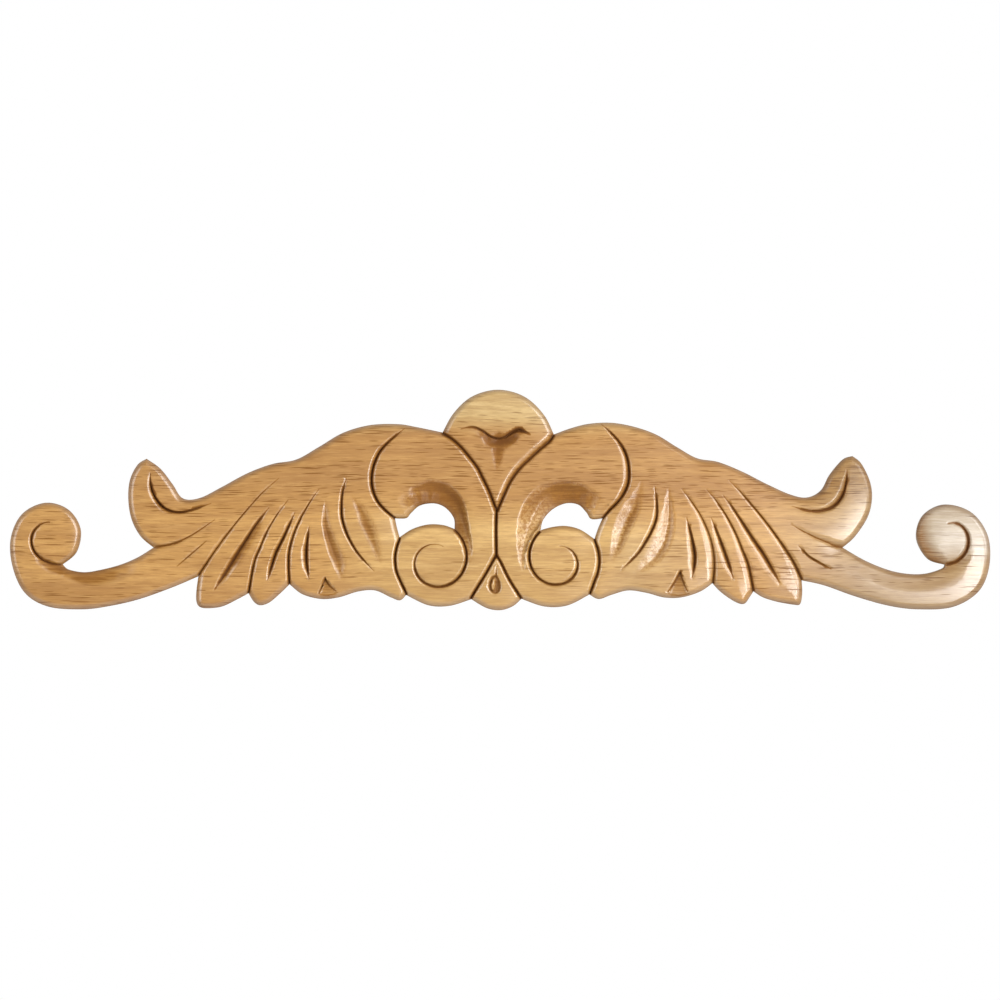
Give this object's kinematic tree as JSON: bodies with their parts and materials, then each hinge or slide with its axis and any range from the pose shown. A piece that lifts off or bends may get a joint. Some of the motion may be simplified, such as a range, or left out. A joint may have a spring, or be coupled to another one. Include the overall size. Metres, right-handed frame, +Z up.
{
  "type": "carved wood onlay",
  "caption": "Long flat-backed carved wood onlay with a crest, leaf wings over open eyes and scrolled discs, curled tips and volute tails, for furniture or wall trim",
  "frame": {"origin": "on the flat back, at the middle of the length and of the height", "axes": "+X along the length to the viewer's right, +Z up, the carved face looks along -Y and the flat back faces +Y"},
  "size_m": [0.4573, 0.01, 0.1027],
  "materials": {
    "wood": "light tan hardwood under satin lacquer, brown stain in the cuts"
  },
  "bodies": {
    "root": {"onlay": "wood"}
  },
  "joints": []
}
